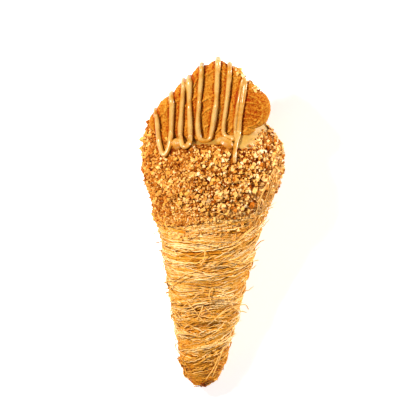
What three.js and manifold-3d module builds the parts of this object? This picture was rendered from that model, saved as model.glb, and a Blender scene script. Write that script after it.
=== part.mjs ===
// A cream horn lying on its side: a cone wound from fine pastry threads and filled with caramel cream, its
// mouth coated with biscuit crumbs, with a scalloped caramelised biscuit stuck in the cream and caramel
// drizzled over it in loops.
//
// Sizes are in millimetres. Every piece is modelled in the horn's own frame: +Y runs along the horn's axis
// from the tip to the mouth, +Z points out of the dressed front and +X to its right. The group at the end
// lays the horn down with its front up, so that it rests on the crumb coat and on the tip.

import * as THREE from "three";
import { ParametricGeometry } from "three/addons/geometries/ParametricGeometry.js";
import { mergeVertices } from "three/addons/utils/BufferGeometryUtils.js";
import Module from "manifold-3d";

const TURN = 2 * Math.PI;
const GAP = 0.3; // clearance between neighbouring pieces

// Pastry cone: its radius grows evenly from a blunt, rounded tip.
const TIP_RADIUS = 7.3;
const CONE_SLOPE = 0.197; // growth of the radius per millimetre of length
const CONE_LENGTH = 100;
const TIP_ROUNDING = 18;
const WALL = 3.5;
const HOLLOW_START = 14; // height above the tip at which the hollow for the cream begins
const WIND_PITCH = 6.2; // from one wound ridge of threads to the next
const WIND_STARTS = 2; // ridges that run side by side, which sets how steeply they climb
const WIND_DEPTH = 0.42;
const WIND_WANDER = 0.35; // share of the pitch by which a ridge wanders up and down
const WIND_LUMPS = 0.25; // height of the uneven lumps between the ridges
const WIND_END = 62; // the ridges fade out here, under the crumbs
const CONE_AROUND = 38;

// Bundles of threads that lie over the wound ridges.
const BUNDLES = 5;
const BUNDLE_RADIUS = 0.6;
const BUNDLE_SIDES = 5;
const BUNDLE_STEP = TURN / 18;
const BUNDLE_SWEEP = [0.28, 0.53]; // share of a turn that a bundle runs round the cone
const BUNDLE_START = [0.62, 1.12]; // share of a turn at which it starts, and 0.75 is the left
const BUNDLE_CLIMB = [1.2, 3.4]; // climb for each radian

// Crumb coat: a bulging band round the mouth with a thin skirt of crumbs below it.
const COAT_MIDDLE = 96; // where the band is widest
const COAT_RADIUS = 28.4;
const COAT_BELOW = 16.5; // from the widest place down to where the band meets the cone
const COAT_ABOVE = 14.5;
const COAT_ROUNDING = 7.2;
const COAT_THICKNESS = 2.0; // over the cream
const LIP_REACH = 0.7; // how far the coat reaches in over the dome's edge
const LIP_HEIGHT = 0.8;
const LIP_RAGGEDNESS = 0.6;
const LIP_CLEARANCE = 0.4;
const MOUTH_LEAN = 1.5; // how far the dome's middle is off to the left
const SKIRT_START = 74;
const SKIRT_END = 84; // above this the skirt's uneven edge has no effect
const SKIRT_RISE = { right: 4.4, front: 2.4 }; // the skirt ends higher at the right and at the front
const SKIRT_RAGGEDNESS = 1.4;
const SKIRT_THICKNESS = 0.9;
const RELIEF = [
  { height: 0.92, size: 2.3 }, // crumbs
  { height: 0.58, size: 5.5 }, // clusters of crumbs
];
const THINNEST_COAT = 0.4;
const COAT_AROUND = 48;

// Large crumbs that stand out of the coat.
const CRUMBS = 40;
const CRUMB_SIZE = [1.2, 2.0]; // radius, smallest and largest
const CRUMB_SINK = 0.05; // share of its radius that a crumb's centre lies below the surface

// Cream: it fills the cone and domes out of the mouth.
const CREAM_BASE = CONE_LENGTH + GAP; // the underside of its overhang on the cone's rim
const CREAM_EDGE = 108.6; // where the shoulder turns into the dome
const CREAM_TOP = 114.5;
const DOME_STEEPNESS = 1.25; // rise for each millimetre of clearance square to the dome near its edge
// The biscuit has pushed the cream up beside its right corner: where, how far and how widely.
const SWELL = { x: 15, z: 15, height: 3.2, spread: 6 };
const CREAM_AROUND = 36;

// Biscuit: a rounded rectangle whose edge is a row of lobes, one centred on each corner.
const SIDES = [
  { lobes: 4, pitch: 9.35 },
  { lobes: 3, pitch: 9.5 },
];
const CORNER_RADIUS = 7.5;
const LOBE_DEPTH = 1.2;
const LOBE_POINTS = 6; // outline points for each lobe
const BISCUIT_THICKNESS = 6;
const BISCUIT_BEVEL = 1.0;
const BISCUIT_SLANT = 46.3; // degrees from +X to its long side
const BISCUIT_LEAN = 6; // degrees that its top leans back
const BISCUIT_CENTRE = new THREE.Vector3(-2.2, 118.0, 12.25);

// Drizzle: each strand's places are [x, height above the tip], and its depth is that of what it lies on. An
// end that names only x hooks over the biscuit's upper edge there.
const STRANDS = [
  {
    radius: 1.1,
    places: [[-23.4], [-22.9, 112.5], [-22, 104.6], [-20.2, 101.9], [-17.8, 105.6], [-17.3, 113], [-17]],
  },
  {
    radius: 1.15,
    places: [[-12.9], [-13.4, 118], [-12.9, 109.4], [-11, 107.2], [-9.3, 109.6], [-10.2, 118], [-10]],
  },
  {
    radius: 1.25,
    places: [[-6.2], [-6.8, 118.5], [-5.8, 111.4], [-3.4, 109.6], [-1.2, 111.6], [-0.4, 119.5], [0.1]],
  },
  {
    radius: 1.1,
    places: [[4.7], [3.4, 119.5], [3.6, 113], [5.2, 111.2], [7.4, 110.8], [8.6, 109.2]],
  },
  {
    radius: 0.95,
    places: [
      ...[[8.9, 112.4], [8.6, 120], [9.8, 133.4], [10.9, 135.8], [11.8, 133.4]],
      ...[[10.4, 122], [10.4, 112], [8.7, 107.6], [8.8, 102.6]],
    ],
  },
];
const HOOK = 2.6; // how far a strand runs down the biscuit's back
const SINK = 0.3; // share of its radius that a strand sinks into the biscuit
const STRAND_SIDES = 6;
const STRAND_STEP = 3;

// How the horn lies.
const LYING_ANGLE = 13.1; // degrees that the axis rises towards the mouth
const AXIS_HEIGHT = 6.0; // height of the tip's centre above the table
const FOOTPRINT_MIDDLE = [0, 68.77]; // the middle of the footprint, from the tip's centre, in x and y

const COLOURS = {
  pastry: 0xdfa654,
  crumbs: 0xcf8a40,
  cream: 0xeeb66c,
  biscuit: 0xcc7426,
};

const wasm = await Module();
wasm.setup();

// --- Solids from three.js geometries ---

// A closed three.js geometry as a manifold-3d solid: vertices merged and collapsed triangles left out.
function solidOf(geometry) {
  const bare = geometry.index ? geometry.toNonIndexed() : geometry.clone();
  for (const name of Object.keys(bare.attributes)) if (name !== "position") bare.deleteAttribute(name);
  const merged = mergeVertices(bare, 1e-4);
  const corners = merged.index.array;
  const kept = [];
  for (let i = 0; i < corners.length; i += 3) {
    const [a, b, c] = corners.slice(i, i + 3);
    if (a !== b && b !== c && c !== a) kept.push(a, b, c);
  }
  return new wasm.Manifold(
    new wasm.Mesh({
      numProp: 3,
      vertProperties: new Float32Array(merged.attributes.position.array),
      triVerts: new Uint32Array(kept),
    }),
  );
}

// The largest body of a solid, so that loose scraps are dropped.
function largest(solid) {
  return solid.decompose().reduce((a, b) => (b.volume() > a.volume() ? b : a));
}

function union(solids) {
  return solids.reduce((whole, next) => whole.add(next));
}

function geometryOf(solid) {
  const mesh = solid.getMesh();
  const geometry = new THREE.BufferGeometry();
  geometry.setAttribute("position", new THREE.BufferAttribute(new Float32Array(mesh.vertProperties), 3));
  geometry.setIndex(new THREE.BufferAttribute(new Uint32Array(mesh.triVerts), 1));
  geometry.computeVertexNormals();
  return geometry;
}

// --- Randomness and roughness ---

// A repeatable source of numbers from 0 to 1.
function seeded(seed) {
  let state = seed;
  return () => {
    state = (Math.imul(state, 1664525) + 1013904223) >>> 0;
    return state / 2 ** 32;
  };
}

function latticeValue(x, y, z) {
  let h = Math.imul(x, 374761393) ^ Math.imul(y, 668265263) ^ Math.imul(z, 2147483647);
  h = Math.imul(h ^ (h >>> 13), 1274126177);
  return ((h ^ (h >>> 16)) >>> 0) / 2 ** 31 - 1;
}

// Smooth bumps from -1 to 1 whose lumps are about size millimetres across.
function bumps(point, size) {
  const place = point.toArray().map((v) => v / size);
  const cell = place.map(Math.floor);
  const part = place.map((v, i) => THREE.MathUtils.smoothstep(v - cell[i], 0, 1));
  let sum = 0;
  for (let corner = 0; corner < 8; corner++) {
    const step = [corner & 1, (corner >> 1) & 1, corner >> 2];
    const weight = step.reduce((w, s, i) => w * (s ? part[i] : 1 - part[i]), 1);
    sum += weight * latticeValue(...cell.map((c, i) => c + step[i]));
  }
  return sum;
}

// --- Surfaces of revolution about the horn's axis ---

// The point at an angle round the axis, where 0 is the front and a quarter turn is +X.
function around(radius, height, angle) {
  return new THREE.Vector3(radius * Math.sin(angle), height, radius * Math.cos(angle));
}

// A closed solid from a profile of { radius, height, ... } and a function that places one of its points at an
// angle. A profile starts and ends on the axis, or closes on itself.
function revolve(profile, columns, place) {
  const rows = profile.length - 1;
  const pointAt = (u, v, target) => {
    const column = Math.round(u * columns) % columns;
    target.copy(place(profile[Math.round(v * rows)], (column / columns) * TURN));
  };
  return solidOf(new ParametricGeometry(pointAt, columns, rows));
}

// Evenly spaced heights from start to end, about step apart.
function heights(start, end, step) {
  const count = Math.max(1, Math.round(Math.abs(end - start) / step));
  return Array.from({ length: count + 1 }, (_, i) => start + ((end - start) * i) / count);
}

// A round strand along points.
function strand(points, radius, sides, steps) {
  const section = new THREE.Shape(
    Array.from({ length: sides }, (_, i) => {
      const angle = (TURN * i) / sides;
      return new THREE.Vector2(radius * Math.cos(angle), radius * Math.sin(angle));
    }),
  );
  const path = new THREE.CatmullRomCurve3(points, false, "centripetal");
  return solidOf(new THREE.ExtrudeGeometry(section, { steps, extrudePath: path, bevelEnabled: false }));
}

// --- The pastry cone ---

function coneRadius(height) {
  const short = 1 - Math.min(1, height / TIP_ROUNDING);
  return (TIP_RADIUS + CONE_SLOPE * height) * Math.sqrt(1 - short ** 4);
}

// Ridges of wound threads, with uneven spacing and depth, fading out under the crumbs and at the tip.
function windRelief(height, angle) {
  const point = around(coneRadius(height), height, angle);
  const phase = height / WIND_PITCH - (WIND_STARTS * angle) / TURN + WIND_WANDER * bumps(point, 14);
  const fade = THREE.MathUtils.smoothstep(WIND_END - height, 0, 6) * THREE.MathUtils.smoothstep(height, 0, 4);
  return fade * (WIND_DEPTH * Math.sin(TURN * phase) + WIND_LUMPS * bumps(point, 5));
}

function coneProfile() {
  const outer = [...heights(0, 3, 1), ...heights(5, WIND_END + 3, 2), ...heights(78, CONE_LENGTH, 11)];
  const inner = heights(CONE_LENGTH, HOLLOW_START, 50);
  return [
    ...outer.map((height) => ({ radius: coneRadius(height), height, wound: true })),
    ...inner.map((height) => ({ radius: coneRadius(height) - WALL, height, wound: false })),
    { radius: 0, height: HOLLOW_START, wound: false },
  ];
}

// A bundle of threads that runs partly round the cone and climbs to the right.
function bundle(height, start, sweep, climb) {
  const steps = Math.round(sweep / BUNDLE_STEP);
  const points = Array.from({ length: steps + 1 }, (_, i) => {
    const angle = start + (sweep * i) / steps;
    const at = height + climb * (angle - start);
    return around(coneRadius(at) + 0.35 * BUNDLE_RADIUS + windRelief(at, angle), at, angle);
  });
  return strand(points, BUNDLE_RADIUS, BUNDLE_SIDES, steps);
}

function pastryCone() {
  const core = revolve(coneProfile(), CONE_AROUND, (p, angle) =>
    around(p.radius + (p.wound && p.radius > 0 ? windRelief(p.height, angle) : 0), p.height, angle),
  );
  const random = seeded(7);
  const between = ([low, high]) => THREE.MathUtils.lerp(low, high, random());
  const bundles = Array.from({ length: BUNDLES }, (_, i) => {
    const height = WIND_PITCH + ((WIND_END - 2 * WIND_PITCH) * (i + 0.5)) / BUNDLES;
    return bundle(height, TURN * between(BUNDLE_START), TURN * between(BUNDLE_SWEEP), between(BUNDLE_CLIMB));
  });
  return union([core, ...bundles]);
}

// --- The cream ---

// Outer radius of the bulging band that the crumbs make round the mouth.
function bandRadius(height) {
  const reach = height < COAT_MIDDLE ? COAT_BELOW : COAT_ABOVE;
  const share = Math.min(1, Math.abs(height - COAT_MIDDLE) / reach);
  return COAT_RADIUS - COAT_ROUNDING * (1 - Math.sqrt(1 - share ** 2));
}

const DOME_RADIUS = bandRadius(CREAM_EDGE) - COAT_THICKNESS / 2;

// The mouth leans a little to the left above the cone's rim.
function mouthLean(height) {
  return -MOUTH_LEAN * THREE.MathUtils.clamp((height - CREAM_BASE) / (CREAM_EDGE - CREAM_BASE), 0, 1);
}

// Like around, but about the leaning middle of the mouth.
function mouthPoint(radius, height, angle) {
  return around(radius, height, angle).setX(radius * Math.sin(angle) + mouthLean(height));
}

// The cream narrows with the cone, bulges under the crumbs, and closes in a flattened dome.
function creamRadius(height) {
  if (height < CREAM_BASE) return coneRadius(height) - WALL - GAP;
  const share = (height - CREAM_BASE) / (CREAM_EDGE - CREAM_BASE);
  if (share < 1) return bandRadius(height) - COAT_THICKNESS * (1 - share ** 2 / 2);
  return DOME_RADIUS * Math.sqrt(Math.max(0, (CREAM_TOP - height) / (CREAM_TOP - CREAM_EDGE)));
}

// Height of the cream's dome over a place across the horn, with the swell beside the biscuit.
function domeHeight(x, z) {
  const share = Math.min(1, Math.hypot(x - mouthLean(CREAM_EDGE), z) / DOME_RADIUS);
  const distance = Math.hypot(x - SWELL.x, z - SWELL.z) / SWELL.spread;
  const swell = SWELL.height * Math.exp(-(distance ** 2) / 2) * (1 - share ** 8);
  return CREAM_TOP - (CREAM_TOP - CREAM_EDGE) * share ** 2 + swell;
}

function creamProfile() {
  const bottom = HOLLOW_START + GAP;
  const inCone = [bottom, CREAM_BASE - 0.01];
  const bulge = heights(CREAM_BASE, CREAM_EDGE, 2.8);
  const dome = heights(DOME_RADIUS, 0, 4).slice(1);
  return [
    { radius: 0, height: bottom },
    ...[...inCone, ...bulge].map((height) => ({ radius: creamRadius(height), height })),
    ...dome.map((radius) => ({ radius, height: CREAM_EDGE, dome: true })),
  ];
}

function creamFilling() {
  return revolve(creamProfile(), CREAM_AROUND, (p, angle) => {
    const place = mouthPoint(p.radius, p.height, angle);
    return p.dome ? place.setY(domeHeight(place.x, place.z)) : place;
  });
}

// --- The crumb coat ---

function coatRadius(height) {
  const skirt = height < COAT_MIDDLE ? coneRadius(height) + SKIRT_THICKNESS : 0;
  return Math.max(bandRadius(height), skirt);
}

// Radius of the coat's inner side, clear of the cone and the cream.
function liningRadius(height) {
  return (height < CREAM_BASE ? coneRadius(Math.min(height, CONE_LENGTH)) : creamRadius(height)) + GAP;
}

// How far a place on the coat moves up for the skirt's uneven edge.
function skirtShift(height, angle) {
  const side = around(1, 0, angle);
  const fade = THREE.MathUtils.clamp((SKIRT_END - height) / (SKIRT_END - SKIRT_START), 0, 1);
  const ragged = SKIRT_RAGGEDNESS * bumps(around(coneRadius(SKIRT_START), 0, angle), 6);
  return fade * (SKIRT_RISE.right * side.x + SKIRT_RISE.front * side.z + ragged);
}

function crumbRelief(place) {
  return RELIEF.reduce((sum, { height, size }) => sum + height * bumps(place, size), 0);
}

// The profile goes up the outside, in over the dome's edge as a lip, back under it and down the lining. A
// lip row names its share of the reach over the dome.
function coatProfile() {
  const rows = [
    ...heights(SKIRT_START, CREAM_EDGE, 1.85).map((height) => ({ height, outside: true })),
    { lip: 0, outside: true },
    { lip: 1, outside: true },
    { lip: 1, outside: false },
    { lip: 0, outside: false },
    ...heights(CREAM_EDGE - 1.5, CREAM_BASE + GAP, 3).map((height) => ({ height, outside: false })),
    { height: CREAM_BASE - 0.01, outside: false },
    { height: SKIRT_START, outside: false },
  ];
  return [...rows, rows[0]];
}

function coatPoint(p, angle) {
  if (p.lip !== undefined) {
    const ragged = LIP_RAGGEDNESS * bumps(around(DOME_RADIUS, 0, angle), 5);
    const place = mouthPoint(DOME_RADIUS - p.lip * (LIP_REACH + ragged), CREAM_EDGE, angle);
    const top = LIP_HEIGHT + Math.max(0, crumbRelief(place) / 2);
    return place.setY(domeHeight(place.x, place.z) + (p.outside ? top : LIP_CLEARANCE));
  }
  const height = p.height + skirtShift(p.height, angle);
  if (!p.outside) return mouthPoint(liningRadius(height), height, angle);
  const rough = coatRadius(height) + crumbRelief(around(coatRadius(height), height, angle));
  return mouthPoint(Math.max(liningRadius(height) + THINNEST_COAT, rough), height, angle);
}

// An angular crumb, partly sunk in the coat. Its inner side is cut flat, so that it stays out of the lining.
function crumb(height, angle, size, random) {
  const lump = new THREE.IcosahedronGeometry(size, 0);
  lump.rotateX(TURN * random());
  lump.scale(1, 0.6 + 0.4 * random(), 0.6 + 0.4 * random());
  lump.rotateZ(TURN * random());
  const lining = Math.max(...[-size, 0, size].map((step) => liningRadius(height + step)));
  const places = lump.attributes.position;
  for (let i = 0; i < places.count; i++) {
    places.setZ(i, Math.max(lining, coatRadius(height) - CRUMB_SINK * size + places.getZ(i)));
  }
  return solidOf(lump.translate(0, height, 0).rotateY(angle).translate(mouthLean(height), 0, 0));
}

function crumbCoat() {
  const random = seeded(23);
  const goldenAngle = TURN * (1 - 2 / (1 + Math.sqrt(5)));
  const [lowest, highest] = [SKIRT_START + 6, CREAM_EDGE - 1.8];
  const crumbs = Array.from({ length: CRUMBS }, (_, i) => {
    const height = THREE.MathUtils.lerp(highest, lowest, (i + 0.5) / CRUMBS);
    return crumb(height, goldenAngle * i, THREE.MathUtils.lerp(...CRUMB_SIZE, random()), random);
  });
  return union([revolve(coatProfile(), COAT_AROUND, coatPoint), ...crumbs]);
}

// --- The biscuit ---

// A point on the scalloped outline at a share of the way round, in the biscuit's own plane.
function outlinePoint(share, grow) {
  const lengths = [0, 1, 0, 1].map((i) => SIDES[i].lobes * SIDES[i].pitch);
  // Half of each straight stretch: a side's walk also takes in half of each corner's arc.
  const halves = lengths.map((length) => (length - (Math.PI / 2) * CORNER_RADIUS) / 2);
  let walked = share * 2 * (lengths[0] + lengths[1]);
  let side = 0;
  while (walked > lengths[side] && side < 3) walked -= lengths[side++];
  const straight = 2 * halves[side];
  const arc = (Math.PI / 4) * CORNER_RADIUS;
  const along = THREE.MathUtils.clamp(walked - arc, 0, straight);
  const bend = (walked - arc - along) / CORNER_RADIUS;
  const lobe = LOBE_DEPTH * Math.abs(Math.cos((Math.PI * walked) / SIDES[side % 2].pitch));
  const reach = CORNER_RADIUS + lobe + grow;
  const point = new THREE.Vector2(
    along - halves[side] + reach * Math.sin(bend),
    -halves[(side + 1) % 4] - reach * Math.cos(bend),
  );
  return point.rotateAround(new THREE.Vector2(), (side * Math.PI) / 2);
}

function biscuitOutline(grow) {
  const count = 2 * (SIDES[0].lobes + SIDES[1].lobes) * LOBE_POINTS;
  return Array.from({ length: count }, (_, i) => outlinePoint(i / count, grow));
}

function biscuit(grow) {
  const depth = BISCUIT_THICKNESS + 2 * grow;
  const slab = new THREE.ExtrudeGeometry(new THREE.Shape(biscuitOutline(grow)), {
    depth: depth - 2 * BISCUIT_BEVEL,
    bevelThickness: BISCUIT_BEVEL,
    bevelSize: BISCUIT_BEVEL,
    bevelOffset: -BISCUIT_BEVEL,
    bevelSegments: 1,
    steps: 1,
  });
  slab.translate(0, 0, BISCUIT_BEVEL - depth / 2);
  slab.rotateZ(THREE.MathUtils.degToRad(BISCUIT_SLANT));
  slab.rotateX(-THREE.MathUtils.degToRad(BISCUIT_LEAN));
  return solidOf(slab.translate(BISCUIT_CENTRE.x, BISCUIT_CENTRE.y, BISCUIT_CENTRE.z));
}

// Depth of the biscuit's front face at a height above the tip.
function faceDepth(height) {
  const lean = THREE.MathUtils.degToRad(BISCUIT_LEAN);
  const atCentre = BISCUIT_CENTRE.z + BISCUIT_THICKNESS / 2 / Math.cos(lean);
  return atCentre - (height - BISCUIT_CENTRE.y) * Math.tan(lean);
}

// Height of the biscuit's upper edge at x.
function upperEdge(x) {
  const slant = THREE.MathUtils.degToRad(BISCUIT_SLANT);
  const outline = biscuitOutline(0).map((point) => point.rotateAround(new THREE.Vector2(), slant));
  const crossings = outline.map((a, i) => {
    const b = outline[(i + 1) % outline.length];
    const share = (x - BISCUIT_CENTRE.x - a.x) / (b.x - a.x);
    return share >= 0 && share <= 1 ? THREE.MathUtils.lerp(a.y, b.y, share) : -Infinity;
  });
  return BISCUIT_CENTRE.y + Math.max(...crossings);
}

// --- The drizzle ---

// Depth at x and a height above the tip of a place that is clear of the crumb coat or the cream's dome.
function clearDepth(x, height, clearance) {
  const radius = (height < CREAM_EDGE ? coatRadius(height) : DOME_RADIUS) + clearance;
  let depth = Math.sqrt(Math.max(0, radius ** 2 - (x - mouthLean(height)) ** 2));
  if (height < CREAM_EDGE) return depth;
  while (depth > 0 && domeHeight(x, depth) + DOME_STEEPNESS * clearance < height) depth -= 0.2;
  return depth;
}

// A strand's centre over the biscuit's face, the cream or the crumbs, whichever stands out most there.
function restingPoint(x, height, radius) {
  const onFace = faceDepth(height) + radius * (1 - SINK);
  return new THREE.Vector3(x, height, Math.max(onFace, clearDepth(x, height, radius + GAP)));
}

// Points from the biscuit's upper edge at x over to its back.
function hookPoints(x, radius) {
  const edge = upperEdge(x);
  const lift = radius * (1 - SINK);
  const front = faceDepth(edge);
  const back = front - BISCUIT_THICKNESS;
  return [
    new THREE.Vector3(x, edge + 0.3 * lift, front - 0.35 * BISCUIT_THICKNESS),
    new THREE.Vector3(x, edge + 0.1 * lift, back + 0.1 * BISCUIT_THICKNESS),
    new THREE.Vector3(x, edge - HOOK, back - 0.3 * lift),
  ];
}

function strandPath({ radius, places }) {
  const stations = places.map(([x, height = upperEdge(x) - 1]) => new THREE.Vector3(x, height, 0));
  const route = new THREE.CatmullRomCurve3(stations, false, "centripetal");
  const resting = route
    .getSpacedPoints(Math.round(route.getLength() / STRAND_STEP))
    .map(({ x, y }) => restingPoint(x, y, radius));
  const [first, last] = [places[0], places[places.length - 1]];
  const before = first.length === 1 ? hookPoints(first[0], radius).reverse() : [];
  const after = last.length === 1 ? hookPoints(last[0], radius) : [];
  return [...before, ...resting, ...after];
}

function drizzle(grow) {
  return STRANDS.map((form) => {
    const points = strandPath(form);
    const length = new THREE.CatmullRomCurve3(points, false, "centripetal").getLength();
    return strand(points, form.radius + grow, STRAND_SIDES, Math.round(length / STRAND_STEP));
  });
}

// --- The horn, lying down ---

const horn = new THREE.Group();
horn.rotation.x = THREE.MathUtils.degToRad(LYING_ANGLE);
horn.position.set(-FOOTPRINT_MIDDLE[0], -FOOTPRINT_MIDDLE[1], AXIS_HEIGHT);
horn.updateMatrixWorld(true);

// The table under the horn, in the horn's own frame: it presses the crumb coat and the tip flat.
function table() {
  const slab = new THREE.BoxGeometry(4 * CONE_LENGTH, 4 * CONE_LENGTH, CONE_LENGTH);
  slab.translate(0, 0, -CONE_LENGTH / 2);
  return solidOf(slab.applyMatrix4(horn.matrixWorld.clone().invert()));
}

function addPiece(name, solid, colour, roughness) {
  const material = new THREE.MeshStandardMaterial({ color: colour, roughness, metalness: 0 });
  const mesh = new THREE.Mesh(geometryOf(largest(solid.subtract(table()))), material);
  mesh.name = name;
  horn.add(mesh);
}

const biscuitSlot = biscuit(GAP);
const drizzleSlot = union(drizzle(GAP));

addPiece("pastry_cone", pastryCone(), COLOURS.pastry, 0.75);
addPiece("crumb_coat", crumbCoat().subtract(biscuitSlot).subtract(drizzleSlot), COLOURS.crumbs, 0.85);
addPiece("cream_filling", creamFilling().subtract(biscuitSlot), COLOURS.cream, 0.45);
addPiece("caramel_biscuit", union([biscuit(0), ...drizzle(0)]), COLOURS.biscuit, 0.6);

const part = new THREE.Group();
part.add(horn);

export default part;
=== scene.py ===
"""The looks of a cream horn that lies on its side.

A cone is wound from kataifi threads and filled with caramel cream. Biscuit crumbs coat its mouth, and a
scalloped caramelised biscuit with caramel drizzled over it stands in the cream.

Every piece is made in the horn's own frame and laid down with it at the end: +Y runs along the horn's axis
from the tip to the mouth, +Z points out of the dressed front and +X to its right. Sizes are in metres, as
multiples of MM.
"""

import math

import bmesh
import bpy
import numpy as np
from mathutils import Matrix, Vector, noise
from mathutils.bvhtree import BVHTree


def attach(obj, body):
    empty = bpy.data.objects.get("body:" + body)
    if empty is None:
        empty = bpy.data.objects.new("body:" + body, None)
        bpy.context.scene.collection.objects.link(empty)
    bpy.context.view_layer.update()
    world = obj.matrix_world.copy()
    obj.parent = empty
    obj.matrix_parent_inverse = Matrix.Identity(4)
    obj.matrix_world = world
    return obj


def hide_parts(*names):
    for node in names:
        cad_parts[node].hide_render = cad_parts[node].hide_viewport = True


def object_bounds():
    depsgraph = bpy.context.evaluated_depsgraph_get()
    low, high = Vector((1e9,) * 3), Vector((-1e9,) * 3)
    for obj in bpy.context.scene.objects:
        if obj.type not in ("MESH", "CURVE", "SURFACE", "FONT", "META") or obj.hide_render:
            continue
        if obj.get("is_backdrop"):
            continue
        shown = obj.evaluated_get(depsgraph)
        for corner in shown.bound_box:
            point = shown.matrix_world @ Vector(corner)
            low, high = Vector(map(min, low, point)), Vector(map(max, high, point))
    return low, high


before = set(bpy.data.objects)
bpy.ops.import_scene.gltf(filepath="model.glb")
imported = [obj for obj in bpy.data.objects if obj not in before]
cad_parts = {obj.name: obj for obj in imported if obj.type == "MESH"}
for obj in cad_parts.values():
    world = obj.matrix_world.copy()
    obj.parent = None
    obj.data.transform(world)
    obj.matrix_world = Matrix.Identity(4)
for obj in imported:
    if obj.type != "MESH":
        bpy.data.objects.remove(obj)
cad_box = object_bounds()
noise.seed_set(1)  # noise vectors start from the clock otherwise, and each run would differ

MM = 0.001
TURN = 2 * math.pi
MATH = "ShaderNodeMath"
VECTOR_MATH = "ShaderNodeVectorMath"
NOISE = "ShaderNodeTexNoise"

# How the horn lies.
LYING_ANGLE = math.radians(13.1)
AXIS_HEIGHT = 6.0 * MM
FOOTPRINT_MIDDLE = 68.77 * MM
PRESS = 0.8 * MM  # what is lower than this is squeezed together above the table
HORN = Matrix.Translation((0, -FOOTPRINT_MIDDLE, AXIS_HEIGHT)) @ Matrix.Rotation(LYING_ANGLE, 4, "X")

# Where it is seen from: the dressed front, leaning over to the mouth. What is laid on at listed places is
# placed as seen: x to the right, y up and z towards the viewer.
LOOK_LEAN = math.radians(18)
LOOK = Matrix.Rotation(-LOOK_LEAN, 3, "X")
REACH = 60 * MM  # from how far outside the rays that lay things down start

# The cone, the band of crumbs round its mouth and the cream, as the solids have them.
TIP_RADIUS = 7.3 * MM
CONE_SLOPE = 0.197
CONE_LENGTH = 100 * MM
TIP_ROUNDING = 18 * MM
TIP_TURN = 12 * MM  # below this height the threads turn in under the rounded tip
WALL = 3.5 * MM
HOLLOW_START = 14 * MM
COAT_MIDDLE = 96 * MM
COAT_RADIUS = 28.4 * MM
COAT_BELOW = 16.5 * MM
COAT_ABOVE = 14.5 * MM
COAT_ROUNDING = 7.2 * MM
COAT_THICKNESS = 2.0 * MM
MOUTH_LEAN = 1.5 * MM
CREAM_EDGE = 108.6 * MM
CREAM_TOP = 114.5 * MM
SWELL = {"x": 15 * MM, "z": 15 * MM, "height": 3.2 * MM, "spread": 6 * MM}
SCOOP = {"x": -4 * MM, "z": 17 * MM, "height": -3.2 * MM, "spread": 8 * MM}

# The solids' outer skins make this much room for the threads and crumbs that lie on them.
THREAD_ROOM = 1.3 * MM
BUNDLE_RISE = 0.5 * MM  # how much less room the cone's thick bundles may leave
CRUMB_ROOM = 1.0 * MM

# The threads that are wound on: darker ones underneath, coloured as painted shade for the gaps between the
# upper ones, then the golden ones. Turns are shares of a full turn, climbs are millimetres for each radian,
# and the other sizes are in millimetres.
# Painted shade: the threads underneath show in the gaps, so they are coloured darker.
UNDER_SHADE_STOPS = [(0.15, 0x9E4804), (0.45, 0xC27610), (0.75, 0xD29028), (0.95, 0xE0A848)]
GOLDEN = [(0.1, 0x983E02), (0.35, 0xC67E18), (0.62, 0xDA9E3C), (0.95, 0xF4D49A)]
THREAD_LAYERS = {
    "threads_under": {
        "stops": UNDER_SHADE_STOPS,
        "turn": (0.5, 1.0),
        "climb": (-1.0, 4.0),
        "count": {"Threads": 520, "Threads in a bundle": 8, "Steps": 40},
        "size": {"Thickness": 0.48, "Bundle width": 3.6, "Lift": 0.3, "Stray": 0.0},
    },
    "threads_middle": {
        "stops": GOLDEN,
        "turn": (0.2, 0.5),
        "climb": (-1.0, 5.0),
        "count": {"Threads": 640, "Threads in a bundle": 6, "Steps": 38},
        "size": {"Thickness": 0.42, "Bundle width": 2.6, "Lift": 0.8, "Stray": 3.0},
    },
    "threads_upper": {
        "stops": GOLDEN,
        "turn": (0.1, 0.32),
        "climb": (-3.0, 7.0),
        "count": {"Threads": 660, "Threads in a bundle": 4, "Steps": 32},
        "size": {"Thickness": 0.38, "Bundle width": 2.0, "Lift": 1.1, "Stray": 4.0},
    },
    "threads_loose": {
        "stops": GOLDEN,
        "turn": (0.05, 0.2),
        "climb": (-12.0, 16.0),
        "count": {"Threads": 200, "Threads in a bundle": 1, "Steps": 18},
        "size": {"Thickness": 0.36, "Bundle width": 2.0, "Lift": 1.5, "Stray": 4.0},
    },
}
WOUND_FROM = -1 * MM
WOUND_TO = 82 * MM

# The crumbs thin out down to the skirt's edge, and leave the cream bare at one place of the mouth.
SKIRT_START = 74 * MM
SKIRT_END = 84 * MM
BARE_CREAM = {"x": 15 * MM, "z": 21.5 * MM, "spread": 4.8 * MM, "from": 106 * MM, "full": 109 * MM}
COAT_WEAR = 1.2 * MM  # how far the coat's edge is worn down there
CREAM_BULGE = 0.5 * MM  # how far the cream bulges over it there

# The bed of fine crumbs is broken up into lumps, with finer roughness on them and gaps between them.
BED_VOXEL = 0.44 * MM
LUMP_SIZE = 2.4 * MM
LUMP_WARP = {"size": 1.3 * MM, "amount": 0.6}
GAP_SHARES = (0.01, 0.3)  # where a gap ends and a lump is full, between the middles of two lumps
MEAN_LUMP = 0.66
CLUMP_SIZE = 2.6 * MM
GRIT_SIZE = 0.6 * MM
COARSE_FROM = -16 * MM  # the crumbs get coarser from this x to the next
COARSE_TO = 2 * MM
LIGHT_PAINTED_RIGHT = (8 * MM, 24 * MM)  # the crumbs are painted paler to the right as painted light, from the first x to the second
LIGHT_PAINTED_ABOVE = (98 * MM, 106 * MM)  # and more so above, from the first y to the second
SHADE_PAINTED_LEFT = (8 * MM, 20 * MM)  # they are painted darker to the left as painted shade, from the first distance to the second
BESIDE_DRIZZLE = (0.5 * MM, 1.1 * MM)  # larger crumbs set in between these distances from a strand

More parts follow.
